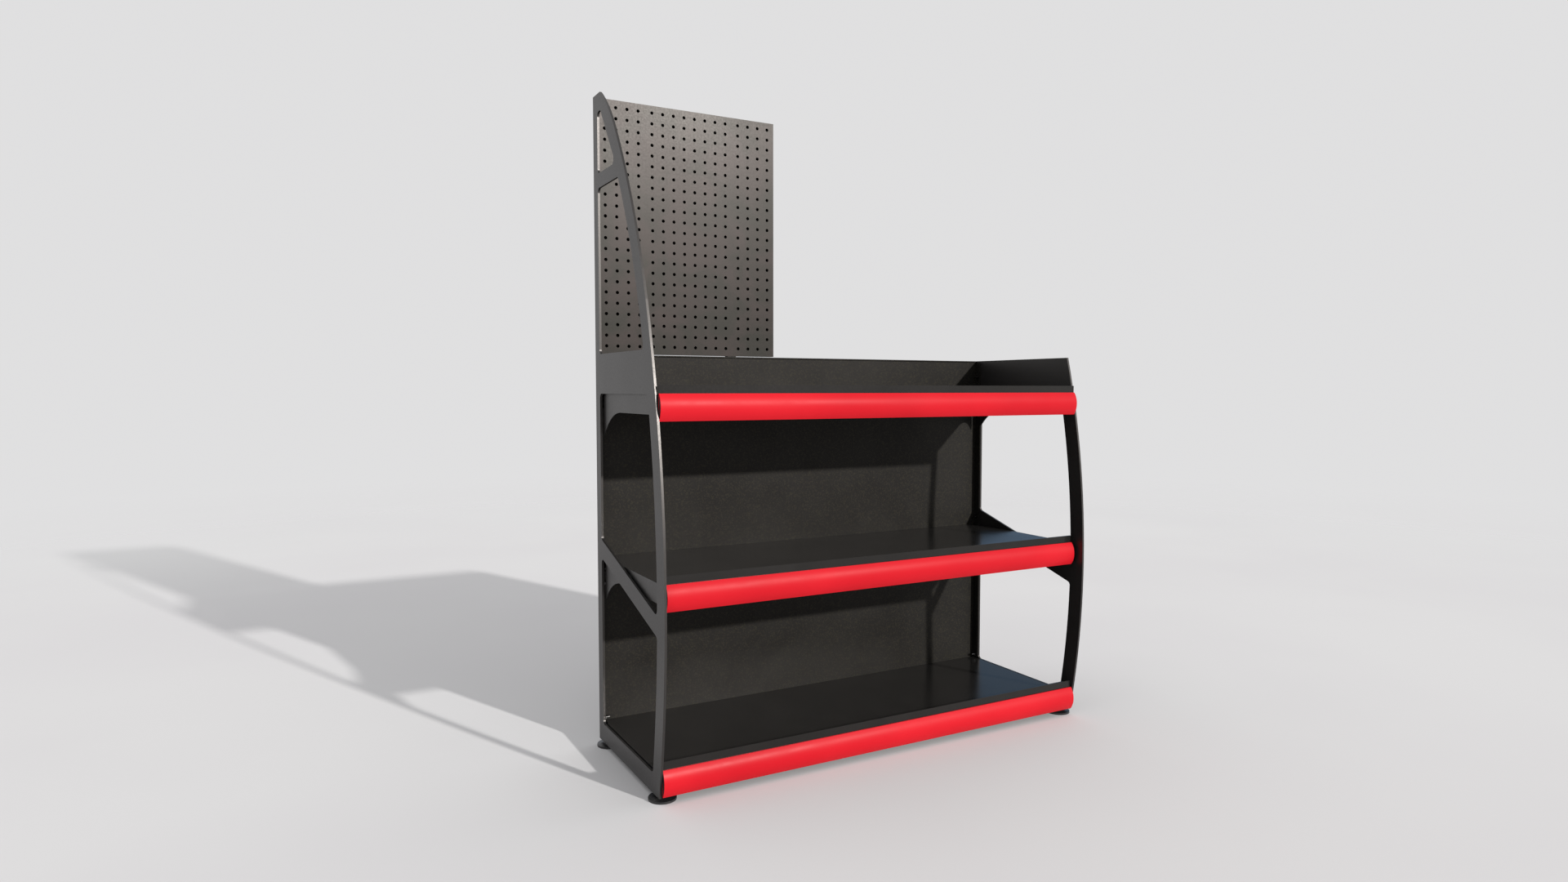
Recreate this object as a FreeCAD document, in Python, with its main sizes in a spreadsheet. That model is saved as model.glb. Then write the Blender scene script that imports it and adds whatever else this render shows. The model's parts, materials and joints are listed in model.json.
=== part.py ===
import FreeCAD, Part
import math
import os

import Sketcher

# Single-sided gondola shelving bay: two laser-cut side plates (the left one tall), three folded steel
# shelves with red price rails, a sheet back, a half-width pegboard on two posts, and four levelling feet.
# Millimetres. +Z up, the front faces -Y, and the origin is on the floor under the middle of the bay.

DIMENSIONS = {
    # side plates
    "bay_width": 1000.0,
    "plate_sheet": 4.5,
    "plate_bottom": 11.0,
    "left_top": 1328.0,
    "right_top": 811.0,
    "bulge_depth": 373.5,
    "bulge_height": 357.0,
    "bulge_radius": 1850.0,
    "shoulder_height": 900.0,
    "slope_depth": 125.0,
    "slope_height": 1246.5,
    "crown_depth": 43.5,
    "crown_radius": 313.0,
    "member": 36.0,
    "rear_member": 26.0,
    "foot_member": 38.0,
    "window_corner": 9.0,
    "tie_low": 1142.0,
    "tie_high": 1171.0,
    "crown_window_top": 1292.0,
    "crown_window_depth": 46.0,
    "crown_window_heel": 123.0,
    "crown_window_heel_height": 1186.0,
    "upper_window_top": 731.0,
    "brace_rear_height": 433.0,
    "brace_slope": 0.302,
    "brace_drop": 37.5,
    # back
    "back_sheet": 1.5,
    "back_setback": 5.0,
    "back_bottom": 22.0,
    "back_split": 368.0,
    "back_gap": 1.0,
    "back_wing": 19.0,
    "hem_radius": 1.75,
    "strip_height": 60.0,
    "strip_inset": 20.0,
    # pegboard
    "peg_right": 410.0,
    "peg_bottom": 812.5,
    "peg_box": 18.0,
    "peg_radius": 3.5,
    "peg_pitch": 24.0,
    "peg_gap": 30.0,
    "peg_row_pitch": 22.0,
    "peg_first_row": 829.0,
    "peg_rows": 23.0,
    "peg_first_column": 22.0,
    "cover_sheet": 1.0,
    "cover_recess": 1.0,
    "post_face": 20.0,
    "post_wall": 1.5,
    "post_foot": 511.0,
    "clamp_ear": 14.0,
    "clamp_height": 24.0,
    # shelves
    "shelf_sheet": 1.2,
    "bottom_front": 344.5,
    "middle_front": 346.5,
    "top_front": 339.5,
    "bottom_clearance": 5.0,
    "middle_clearance": 12.5,
    "top_clearance": 5.0,
    "fold_clearance": 13.0,
    "bottom_deck": 49.5,
    "middle_deck": 395.0,
    "top_deck": 731.5,
    "lip_rise": 16.0,
    "bottom_lip_rise": 29.0,
    "hem_thickness": 3.6,
    "apron_return": 14.0,
    "rear_flange": 25.0,
    "end_flange": 30.0,
    "bottom_end_flange": 18.0,
    "stiffener_depth": 175.0,
    "stiffener_width": 40.0,
    "stiffener_height": 15.0,
    "stiffener_foot": 12.0,
    # brackets
    "bracket_sheet": 2.0,
    "bracket_gap": 3.0,
    "bracket_rear": 28.0,
    "bracket_height": 37.0,
    "bottom_bracket_height": 20.0,
    "ear_drop": 84.5,
    "ear_start": 129.0,
    "ear_tip": 31.0,
    "ear_radius": 125.0,
    # price rails
    "rail_height": 49.0,
    "rail_edge": 2.5,
    "rail_bulge": 8.0,
    "rail_wall": 1.6,
    "cap_sheet": 1.5,
    "cap_gap": 0.2,
    "rivet_radius": 2.0,
    "rivet_head": 4.0,
    "rivet_head_height": 1.2,
    # fasteners
    "stud_radius": 2.5,
    "stud_hole": 2.6,
    "stud_length": 12.0,
    "bolt_head": 4.5,
    "bolt_head_height": 2.0,
    "nut_flats": 8.0,
    "nut_height": 4.0,
    "spacer_radius": 6.0,
    # feet
    "foot_inset": 15.5,
    "front_foot_depth": 317.0,
    "rear_foot_depth": 20.0,
    "pad_radius": 26.0,
    "pad_rim": 4.0,
    "pad_dome": 3.0,
    "pad_neck": 10.0,
    "stem_radius": 4.0,
    "stem_base": 2.0,
    "stem_top": 34.0,
    "running_gap": 0.05,
    "foot_plate_low": 17.0,
    "foot_plate_sheet": 4.0,
    "foot_plate_width": 27.0,
    "foot_plate_length": 32.0,
    "boss_radius": 7.0,
    "boss_height": 8.0,
}

DOC = FreeCAD.newDocument("gondola_bay")
SHEET = DOC.addObject("Spreadsheet::Sheet", "dims")
NODES = []


class Dim:
    """A number together with the spreadsheet formula that it comes from."""

    def __init__(self, value, formula):
        self.value = value
        self.formula = formula

    def __add__(self, other):
        return joined(self, "+", other, self.value + number(other))

    def __radd__(self, other):
        return joined(other, "+", self, number(other) + self.value)

    def __sub__(self, other):
        return joined(self, "-", other, self.value - number(other))

    def __rsub__(self, other):
        return joined(other, "-", self, number(other) - self.value)

    def __mul__(self, other):
        return joined(self, "*", other, self.value * number(other))

    def __rmul__(self, other):
        return joined(other, "*", self, number(other) * self.value)

    def __truediv__(self, other):
        return joined(self, "/", other, self.value / number(other))

    def __neg__(self):
        return joined(0, "-", self, -self.value)


def number(item):
    return item.value if isinstance(item, Dim) else float(item)


def formula(item):
    return item.formula if isinstance(item, Dim) else "(%r)" % float(item)


def joined(left, sign, right, value):
    return Dim(value, "(%s %s %s)" % (formula(left), sign, formula(right)))


def square_root(item):
    return Dim(math.sqrt(number(item)), "sqrt(%s)" % formula(item))


def fill_sheet():
    for row, (name, value) in enumerate(DIMENSIONS.items(), start=1):
        SHEET.set("A%d" % row, name)
        SHEET.set("B%d" % row, str(value))
        SHEET.setAlias("B%d" % row, name)
    DOC.recompute()


def dim(name):
    return Dim(DIMENSIONS[name], "dims.%s" % name)


# ---------------------------------------------------------------- drawing helpers

def bind(piece, prop, item):
    """Give a property its value, bound to the sheet where the value comes from there."""
    if isinstance(item, Dim):
        piece.setExpression(prop, item.formula)
    else:
        setattr(piece, prop, item)


def locate(piece, x, y, z, rotation=FreeCAD.Rotation()):
    piece.Placement = FreeCAD.Placement(FreeCAD.Vector(number(x), number(y), number(z)), rotation)
    for axis, item in (("x", x), ("y", y), ("z", z)):
        if isinstance(item, Dim):
            piece.setExpression("Placement.Base.%s" % axis, item.formula)
    return piece


def box(name, x_span, y_span, z_span):
    """A block from the low to the high end of each span."""
    piece = DOC.addObject("Part::Box", name)
    for prop, span in (("Length", x_span), ("Width", y_span), ("Height", z_span)):
        bind(piece, prop, span[1] - span[0])
    return locate(piece, x_span[0], y_span[0], z_span[0])


TURNS = {
    "x": FreeCAD.Rotation(FreeCAD.Vector(0, 1, 0), 90),
    "y": FreeCAD.Rotation(FreeCAD.Vector(1, 0, 0), -90),
    "z": FreeCAD.Rotation(),
}


def rod(name, axis, radius, length, x, y, z):
    """A round bar that starts at x, y, z and runs along +axis."""
    piece = DOC.addObject("Part::Cylinder", name)
    bind(piece, "Radius", radius)
    bind(piece, "Height", length)
    return locate(piece, x, y, z, TURNS[axis])


def hexagon(name, axis, flats, length, x, y, z):
    """A hexagonal bar, sized across its flats."""
    piece = DOC.addObject("Part::Prism", name)
    piece.Polygon = 6
    bind(piece, "Circumradius", flats / math.sqrt(3))
    bind(piece, "Height", length)
    return locate(piece, x, y, z, TURNS[axis])


def fuse(name, pieces):
    whole = DOC.addObject("Part::MultiFuse", name)
    whole.Shapes = pieces
    whole.Refine = True
    return whole


def group(name, pieces):
    """Separate solids kept together as one object."""
    whole = DOC.addObject("Part::Compound", name)
    whole.Links = pieces
    return whole


def cut(name, base, tools):
    whole = DOC.addObject("Part::Cut", name)
    whole.Base = base
    whole.Tool = group(name + "_tools", tools)
    whole.Refine = True
    return whole


def node(piece, label):
    """Keep a finished piece as a sub-part with a name of its own."""
    piece.Label = label
    NODES.append(piece)
    return piece


def side_sign(side):
    return -1 if side == "left" else 1


def x_span(side, near, far):
    """The span between two distances in from the outer face of the side plate on that side."""
    half = dim("bay_width") / 2
    if side == "left":
        return (near - half, far - half)
    return (half - far, half - near)


def behind(depth):
    """The y of a place that lies this far in front of the plates' rear edges."""
    return REAR - depth


# ---------------------------------------------------------------- sketch helpers

def new_body(name):
    return DOC.addObject("PartDesign::Body", name)


def new_sketch(body, name, role):
    sketch = body.newObject("Sketcher::SketchObject", name)
    plane = [item for item in body.Origin.OriginFeatures if item.Role == role][0]
    sketch.AttachmentSupport = [(plane, "")]
    sketch.MapMode = "FlatFace"
    return sketch


def bind_constraint(sketch, index, item):
    if isinstance(item, Dim):
        sketch.setExpression("Constraints[%d]" % index, item.formula)


def pin_point(sketch, edge, point, corner):
    """Hold one end of an edge at its distances from the sketch's origin."""
    for kind, item in (("DistanceX", corner[0]), ("DistanceY", corner[1])):
        rule = Sketcher.Constraint(kind, -1, 1, edge, point, number(item))
        bind_constraint(sketch, sketch.addConstraint(rule), item)


def arc_through(start, end, radius):
    """A short arc from start to end that bulges to the right of the way it runs."""
    chord = end - start
    half = chord.Length / 2
    normal = FreeCAD.Vector(chord.y, -chord.x, 0).normalize()
    rise = radius - math.sqrt(radius * radius - half * half)
    return Part.Arc(start, (start + end) / 2 + normal * rise, end)


def draw_loop(sketch, corners):
    """A closed outline. A corner's third item is the radius of the arc that leaves it; a plain corner
    is left by a straight edge. An arc with a negative radius bulges to the left."""
    points = [FreeCAD.Vector(number(corner[0]), number(corner[1]), 0) for corner in corners]
    ends = []
    for index, corner in enumerate(corners):
        start, end = points[index], points[(index + 1) % len(points)]
        radius = number(corner[2]) if len(corner) > 2 else 0
        if radius > 0:
            edge = sketch.addGeometry(arc_through(start, end, radius), False)
        elif radius < 0:
            edge = sketch.addGeometry(arc_through(end, start, -radius), False)
        else:
            edge = sketch.addGeometry(Part.LineSegment(start, end), False)
        forward = sketch.getPoint(edge, 1).distanceToPoint(start) < 1e-6
        ends.append((edge, 1, 2) if forward else (edge, 2, 1))
    for index, corner in enumerate(corners):
        edge, first, _ = ends[index]
        before, _, last = ends[index - 1]
        pin_point(sketch, edge, first, corner)
        sketch.addConstraint(Sketcher.Constraint("Coincident", before, last, edge, first))
        if len(corner) > 2:
            size = corner[2] if number(corner[2]) > 0 else -corner[2]
            rule = Sketcher.Constraint("Radius", edge, number(size))
            bind_constraint(sketch, sketch.addConstraint(rule), size)


def draw_circle(sketch, u, v, radius):
    centre = FreeCAD.Vector(number(u), number(v), 0)
    circle = Part.Circle(centre, FreeCAD.Vector(0, 0, 1), number(radius))
    edge = sketch.addGeometry(circle, False)
    pin_point(sketch, edge, 3, (u, v))
    rule = Sketcher.Constraint("Radius", edge, number(radius))
    bind_constraint(sketch, sketch.addConstraint(rule), radius)


def padded(name, role, loops, circles, length):
    """A body made of one sketch, padded along its plane's normal."""
    body = new_body(name)
    sketch = new_sketch(body, name + "_outline", role)
    for corners in loops:
        draw_loop(sketch, corners)
    for u, v, radius in circles:
        draw_circle(sketch, u, v, radius)
    pad = body.newObject("PartDesign::Pad", name + "_pad")
    pad.Profile = sketch
    bind(pad, "Length", length)
    DOC.recompute()
    return body, pad


def round_corners(body, pad, name, corners, radius):
    """Fillet the edges that stand on the given corners of a padded YZ outline."""
    names = []
    for index, edge in enumerate(pad.Shape.Edges, start=1):
        low, high = edge.Vertexes[0].Point, edge.Vertexes[-1].Point
        along_x = abs(low.y - high.y) < 1e-6 and abs(low.z - high.z) < 1e-6
        if along_x and any(math.hypot(low.y - y, low.z - z) < 1e-3 for y, z in corners):
            names.append("Edge%d" % index)
    if len(names) != len(corners):
        raise RuntimeError("%s: found %d of %d corners" % (name, len(names), len(corners)))
    fillet = body.newObject("PartDesign::Fillet", name)
    fillet.Base = (pad, names)
    bind(fillet, "Radius", radius)
    body.Tip = fillet


# ---------------------------------------------------------------- side plates

def circle_depth(centre_y, centre_z, radius, z):
    """The front y, at height z, of a circle in the plate's plane."""
    rise = z - centre_z
    return centre_y - square_root(radius * radius - rise * rise)


def front_arcs():
    """Centres and radii of the two tangent arcs of the front edge: the long belly, and the shoulder
    above it, which ends where the tighter curve of the crown begins."""
    belly_y = behind(dim("bulge_depth")) + dim("bulge_radius")
    belly_z = dim("bulge_height")
    belly_radius = dim("bulge_radius")
    join_y = circle_depth(belly_y, belly_z, belly_radius, dim("shoulder_height"))
    toward_y = (belly_y - join_y) / belly_radius
    toward_z = (belly_z - dim("shoulder_height")) / belly_radius
    run_y = behind(dim("slope_depth")) - join_y
    run_z = dim("slope_height") - dim("shoulder_height")
    shoulder_radius = (run_y * run_y + run_z * run_z) / (2 * (run_y * toward_y + run_z * toward_z))
    shoulder_y = join_y + shoulder_radius * toward_y
    shoulder_z = dim("shoulder_height") + shoulder_radius * toward_z
    return (belly_y, belly_z, belly_radius), (shoulder_y, shoulder_z, shoulder_radius)


def inner_point(arc, z):
    """A point at height z on the inner edge of the front member, beside one of its arcs."""
    centre_y, centre_z, radius = arc
    return circle_depth(centre_y, centre_z, radius - dim("member"), z), z


def brace_height(drop, depth):
    """Height of the sloping brace's upper edge (drop 0) or lower edge at a depth from the rear."""
    return dim("brace_rear_height") - drop - (depth - dim("rear_member")) * dim("brace_slope")


def brace_corner(arc, drop):
    """Where an edge of the brace meets the inner edge of the front member."""
    centre_y, centre_z, outer = arc
    radius = outer - dim("member")
    slope = dim("brace_slope")
    start_z = dim("brace_rear_height") - drop
    offset_y = behind(dim("rear_member")) - centre_y
    offset_z = start_z - centre_z
    # the edge is (rear - s, start - slope * s); s solves a quadratic for the circle
    half = offset_y + slope * offset_z
    spread = 1 + slope * slope
    rest = offset_y * offset_y + offset_z * offset_z - radius * radius
    travel = (half + square_root(half * half - spread * rest)) / spread
    return behind(dim("rear_member")) - travel, start_z - slope * travel


def plate_windows(belly):
    """The two windows that both plates share: the foot window and, above the brace, the upper one."""
    rear = behind(dim("rear_member"))
    sill = dim("plate_bottom") + dim("foot_member")
    radius = -(dim("bulge_radius") - dim("member"))
    foot_window = [
        (rear, brace_height(dim("brace_drop"), dim("rear_member"))),
        (rear, sill),
        (*inner_point(belly, sill), radius),
        brace_corner(belly, dim("brace_drop")),
    ]
    upper_window = [
        (rear, dim("upper_window_top")),
        (rear, brace_height(0, dim("rear_member"))),
        (*brace_corner(belly, 0), radius),
        inner_point(belly, dim("upper_window_top")),
    ]
    return [foot_window, upper_window]


def tall_windows(belly, shoulder):
    """The two windows above the shelves, which only the left plate has."""
    rear = behind(dim("rear_member"))
    sill = dim("right_top")
    belly_radius = -(dim("bulge_radius") - dim("member"))
    shoulder_radius = -(shoulder[2] - dim("member"))
    toward_y = (belly[0] - shoulder[0]) / (belly[2] - shoulder[2])
    toward_z = (belly[1] - shoulder[1]) / (belly[2] - shoulder[2])
    join_y = belly[0] - (belly[2] - dim("member")) * toward_y
    join_z = belly[1] - (belly[2] - dim("member")) * toward_z
    side_window = [
        (rear, dim("tie_low")),
        (rear, sill),
        (*inner_point(belly, sill), belly_radius),
        (join_y, join_z, shoulder_radius),
        inner_point(shoulder, dim("tie_low")),
    ]
    crown_window = [
        (rear, dim("crown_window_top")),
        (rear, dim("tie_high")),
        (behind(dim("crown_window_heel")), dim("tie_high")),
        (behind(dim("crown_window_heel")), dim("crown_window_heel_height")),
        (behind(dim("crown_window_depth")), dim("crown_window_top")),
    ]
    return side_window, crown_window


def side_plate(side):
    belly, shoulder = front_arcs()
    bottom = dim("plate_bottom")
    outline = [(behind(0), bottom), (behind(0), dim("left_top"))]
    windows = plate_windows(belly)
    rounded = [corner for window in windows for corner in window]
    foot_point = (circle_depth(*belly, bottom), bottom)
    if side == "left":
        side_window, crown_window = tall_windows(belly, shoulder)
        windows += [side_window, crown_window]
        rounded += [side_window[index] for index in (0, 1, 2, 4)] + crown_window
        outline += [
            (behind(dim("crown_depth")), dim("left_top"), dim("crown_radius")),
            (behind(dim("slope_depth")), dim("slope_height"), shoulder[2]),
            (circle_depth(*belly, dim("shoulder_height")), dim("shoulder_height"), belly[2]),
            foot_point,
        ]
    else:
        top = dim("right_top")
        outline[1] = (behind(0), top)
        outline += [(circle_depth(*belly, top), top, belly[2]), foot_point]
    name = side + "_side_plate"
    body, pad = padded(name + "_body", "YZ_Plane", [outline] + windows, [], dim("plate_sheet"))
    targets = [(number(corner[0]), number(corner[1])) for corner in rounded]
    round_corners(body, pad, name + "_rounds", targets, dim("window_corner"))
    low, _ = x_span(side, 0, dim("plate_sheet"))
    locate(body, low, 0, 0)
    return node(body, name)


# ---------------------------------------------------------------- back panels

def back_span():
    """Front and rear y of the back sheets."""
    front = behind(dim("back_setback"))
    return front, front + dim("back_sheet")


def back_panel(name, bottom, top, hemmed):
    """A back sheet whose ends turn forward as wings against the side plates."""
    front, rear = back_span()
    reach = dim("bay_width") / 2 - dim("plate_sheet")
    pieces = [box(name + "_sheet", (-reach, reach), (front, rear), (bottom, top))]
    for side in ("left", "right"):
        across = x_span(side, dim("plate_sheet"), dim("plate_sheet") + dim("back_sheet"))
        wing_top = top - 2 * dim("hem_radius")
        pieces.append(box(name + "_wing_" + side, across, (front - dim("back_wing"), front),
                          (bottom, wing_top)))
    if hemmed:
        bead = rod(name + "_hem", "x", dim("hem_radius"), 2 * reach, -reach,
                   rear - dim("hem_radius"), top)
        pieces.append(bead)
    sheet = fuse(name + "_folded", pieces)
    holes = bolt_holes(name, rear - dim("back_sheet")) if hemmed else []
    for side in ("left", "right"):
        for index, height in enumerate(WING_HEIGHTS[name]):
            holes.append(wing_rod(name + "_hole_%s_%d" % (side, index), side, height, dim("stud_hole")))
    return node(cut(name + "_drilled", sheet, holes), name)


# heights of the side studs, level with the side plates' bands and braces where they can be
WING_HEIGHTS = {
    "lower_back_panel": (58.0, 340.0),
    "upper_back_panel": (414.0, 770.0),
    "pegboard_panel": (1156.5, 1309.0),
}


def wing_rod(name, side, height, radius):
    """A round bar across the wing and along the stud's line."""
    start, _ = x_span(side, dim("plate_sheet"), dim("plate_sheet") + dim("stud_length"))
    depth = dim("back_setback") + dim("back_wing") / 2
    return rod(name, "x", radius, dim("stud_length"), start, behind(depth), height)


def joint_strip():
    """A strip behind the split between the two back sheets."""
    _, rear = back_span()
    half = dim("bay_width") / 2 - dim("strip_inset")
    low = dim("back_split") - dim("strip_height") / 2
    strip = box("joint_strip", (-half, half), (rear, rear + dim("back_sheet")),
                (low, low + dim("strip_height")))
    return node(cut("joint_strip_drilled", strip, bolt_holes("joint_strip", rear)), "back_joint_strip")


def bolt_places(shelf):
    """X and z of the bolts that hold a shelf's rear flange to the back."""
    reach = dim("bay_width") / 2 - dim("fold_clearance")
    height = deck(shelf) - dim("rear_flange") / 2
    return [(fraction * reach, height) for fraction in (-0.9, -0.3, 0.3, 0.9)]


def bolt_holes(name, start):
    """Holes for those bolts through a sheet whose front face is at y = start."""
    return [rod("%s_bolt_hole_%s_%d" % (name, shelf, index), "y", dim("stud_radius"), dim("back_sheet"),
                x, start, z)
            for shelf in ("middle", "top") for index, (x, z) in enumerate(bolt_places(shelf))]


def rear_bolts():
    """Bolts with their heads under the shelf and their nuts behind the back."""
    bolts = []
    nuts = []
    front, rear = back_span()
    for shelf in ("middle", "top"):
        grip = dim("shelf_sheet") + dim("back_sheet")
        if shelf == "middle":
            grip = grip + dim("back_sheet")
        flange = front - dim("shelf_sheet")
        for index, (x, z) in enumerate(bolt_places(shelf)):
            name = "%s_bolt_%d" % (shelf, index)
            shank = rod(name + "_shank", "y", dim("stud_radius"), grip + dim("nut_height"), x, flange, z)
            head = rod(name + "_head", "y", dim("bolt_head"), dim("bolt_head_height"), x,
                       flange - dim("bolt_head_height"), z)
            bolts.append(fuse(name, [shank, head]))
            nuts.append(nut(name + "_nut", "y", x, flange + grip, z))
    node(group("rear_bolt_group", bolts), "shelf_rear_bolts")
    node(group("rear_nut_group", nuts), "shelf_rear_nuts")


# ---------------------------------------------------------------- pegboard

def peg_columns():
    """X of the sixteen hole columns: four, a wider gap, eight, a wider gap, four."""
    first = dim("peg_first_column") - dim("bay_width") / 2
    columns = []
    for index in range(16):
        gaps = (index >= 4) + (index >= 12)
        step = index - gaps
        columns.append(first + step * dim("peg_pitch") + gaps * dim("peg_gap"))
    return columns


def post_centres():
    """The two posts stand behind the two wider gaps between the columns."""
    columns = peg_columns()
    return {"left": (columns[3] + columns[4]) / 2, "right": (columns[11] + columns[12]) / 2}


def post_span(side):
    centre = post_centres()[side]
    return centre - dim("post_face") / 2, centre + dim("post_face") / 2


def peg_box_depths():
    """Y of the pegboard's face, the back of its sheet, the cover's front and the box's rear rim."""
    face, sheet_back = back_span()
    rim = face + dim("peg_box")
    cover = rim - dim("cover_recess") - dim("cover_sheet")
    return face, sheet_back, cover, rim


def perforated_sheet():
    face, sheet_back, _, _ = peg_box_depths()
    left = dim("plate_sheet") - dim("bay_width") / 2
    right = dim("peg_right") - dim("bay_width") / 2
    bottom, top = dim("peg_bottom"), dim("left_top")
    outline = [(left, bottom), (right, bottom), (right, top), (left, top)]
    body, pad = padded("peg_sheet", "XZ_Plane", [outline], [], dim("back_sheet"))
    sketch = new_sketch(body, "peg_row", "XZ_Plane")
    for x in peg_columns():
        draw_circle(sketch, x, dim("peg_first_row"), dim("peg_radius"))
    row = body.newObject("PartDesign::Pocket", "peg_row_holes")
    row.Profile = sketch
    row.Type = "ThroughAll"
    row.Reversed = True
    DOC.recompute()
    check_cut(pad, row, 16 * math.pi * DIMENSIONS["peg_radius"] ** 2 * DIMENSIONS["back_sheet"])
    rows = body.newObject("PartDesign::LinearPattern", "peg_rows")
    rows.Originals = [row]
    rows.Direction = (sketch, ["V_Axis"])
    bind(rows, "Length", (dim("peg_rows") - 1) * dim("peg_row_pitch"))
    bind(rows, "Occurrences", dim("peg_rows"))
    body.Tip = rows
    locate(body, 0, sheet_back, 0)
    return body


def check_cut(before, after, expected):
    """Stop if a pocket pointed away from the solid and so cut nothing."""
    removed = before.Shape.Volume - after.Shape.Volume
    if abs(removed - expected) > 0.01 * expected:
        raise RuntimeError("pocket removed %.1f, expected %.1f" % (removed, expected))


def pegboard_panel():
    """The perforated sheet with its edges turned back, and a wing forward against the side plate."""
    face, sheet_back, _, rim = peg_box_depths()
    left = dim("plate_sheet") - dim("bay_width") / 2
    right = dim("peg_right") - dim("bay_width") / 2
    bottom, top = dim("peg_bottom"), dim("left_top")
    sheet = dim("back_sheet")
    pieces = [
        perforated_sheet(),
        box("peg_top_edge", (left, right), (face, rim), (top - sheet, top)),
        box("peg_bottom_edge", (left, right), (face, rim), (bottom, bottom + sheet)),
        box("peg_left_edge", (left, left + sheet), (face, rim), (bottom, top)),
        box("peg_right_edge", (right - sheet, right), (face, rim), (bottom, top)),
        box("peg_wing", (left, left + sheet), (face - dim("back_wing"), face),
            (bottom + dim("hem_thickness"), top - dim("hem_thickness"))),
    ]
    folded = fuse("pegboard_folded", pieces)
    tools = []
    for side in ("left", "right"):
        notch = box("peg_notch_" + side, post_span(side), (sheet_back, rim), (bottom, bottom + sheet))
        tools.append(notch)
    for index, height in enumerate(WING_HEIGHTS["pegboard_panel"]):
        tools.append(wing_rod("peg_wing_hole_%d" % index, "left", height, dim("stud_hole")))
    return node(cut("pegboard_cut", folded, tools), "pegboard_panel")


def cover_screw_places():
    low = dim("peg_bottom") + 2 * dim("member")
    high = dim("left_top") - 2 * dim("member")
    heights = (low, (low + high) / 2, high)
    return [(side, x, z) for side, x in post_centres().items() for z in heights]


def pegboard_cover():
    """The closing sheet at the back of the pegboard box."""
    _, _, cover, _ = peg_box_depths()
    sheet = dim("back_sheet")
    left = dim("plate_sheet") + sheet - dim("bay_width") / 2
    right = dim("peg_right") - sheet - dim("bay_width") / 2
    plain = box("cover_sheet_plain", (left, right), (cover, cover + dim("cover_sheet")),
                (dim("peg_bottom") + sheet, dim("left_top") - sheet))
    holes = [rod("cover_hole_%d" % index, "y", dim("rivet_radius"), 2 * dim("cover_sheet"), x,
                 cover - dim("cover_sheet") / 2, z)
             for index, (_, x, z) in enumerate(cover_screw_places())]
    return node(cut("cover_drilled", plain, holes), "pegboard_back_cover")


def cover_screws():
    """Pan-head screws that hold the cover to the posts."""
    _, _, cover, rim = peg_box_depths()
    wall = dim("post_wall")
    screws = []
    for index, (_, x, z) in enumerate(cover_screw_places()):
        shank = rod("cover_shank_%d" % index, "y", dim("rivet_radius"), wall + dim("cover_sheet"), x,
                    cover - wall, z)
        head = rod("cover_head_%d" % index, "y", dim("rivet_head"), dim("cover_recess"), x,
                   rim - dim("cover_recess"), z)
        screws.append(fuse("cover_screw_%d" % index, [shank, head]))
    return node(group("cover_screw_group", screws), "cover_screws")


def peg_post(side):
    """A rectangular tube, from behind the upper back sheet to the top of the pegboard box."""
    _, front, rear, _ = peg_box_depths()
    low, high = post_span(side)
    wall = dim("post_wall")
    bottom, top = dim("post_foot"), dim("left_top") - dim("back_sheet")
    name = "peg_post_" + side
    outer = box(name + "_outer", (low, high), (front, rear), (bottom, top))
    tools = [box(name + "_inner", (low + wall, high - wall), (front + wall, rear - wall), (bottom, top))]
    for index, (place, x, z) in enumerate(cover_screw_places()):
        if place == side:
            tools.append(rod("%s_hole_%d" % (name, index), "y", dim("rivet_radius"), wall, x,
                             rear - wall, z))
    return node(cut(name + "_tube", outer, tools), name)


def clamp_places():
    heights = (dim("post_foot") + 2 * dim("clamp_height"), dim("peg_bottom") - 3 * dim("clamp_height"))
    return [(side, z) for side in ("left", "right") for z in heights]


def clamp_ears():
    """Centre x and z of each clamp ear's stud."""
    reach = dim("post_face") / 2 + dim("cover_sheet") + dim("clamp_ear") / 2
    places = []
    for side, z in clamp_places():
        for way in (-1, 1):
            places.append((post_centres()[side] + way * reach, z))
    return places


def post_clamps():
    """Hat clamps that hold the posts to the rear of the upper back sheet."""
    _, front, rear, _ = peg_box_depths()
    sheet = dim("cover_sheet")
    half = dim("clamp_height") / 2
    clamps = []
    for index, (side, z) in enumerate(clamp_places()):
        low, high = post_span(side)
        span = (z - half, z + half)
        name = "clamp_%d" % index
        pieces = [
            box(name + "_crown", (low - sheet, high + sheet), (rear, rear + sheet), span),
            box(name + "_left_leg", (low - sheet, low), (front, rear), span),
            box(name + "_right_leg", (high, high + sheet), (front, rear), span),
            box(name + "_left_ear", (low - sheet - dim("clamp_ear"), low), (front, front + sheet), span),
            box(name + "_right_ear", (high, high + sheet + dim("clamp_ear")), (front, front + sheet),
                span),
        ]
        holes = [rod("%s_hole_%d" % (name, count), "y", dim("stud_hole"), sheet, x, front, height)
                 for count, (x, height) in enumerate(clamp_ears()[2 * index:2 * index + 2])]
        clamps.append(cut(name, fuse(name + "_hat", pieces), holes))
    return node(group("clamp_group", clamps), "post_clamps")


def clamp_fasteners():
    """Welded studs on the back sheet and the nuts that pull the clamps down."""
    _, front, _, _ = peg_box_depths()
    studs = []
    nuts = []
    for index, (x, z) in enumerate(clamp_ears()):
        studs.append(rod("clamp_stud_%d" % index, "y", dim("stud_radius"), dim("stud_length") / 2, x,
                         front, z))
        nuts.append(nut("clamp_nut_%d" % index, "y", x, front + dim("cover_sheet"), z))
    node(group("clamp_stud_group", studs), "clamp_studs")
    node(group("clamp_nut_group", nuts), "clamp_nuts")


# ---------------------------------------------------------------- shelves

SHELVES = ("bottom", "middle", "top")
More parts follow.
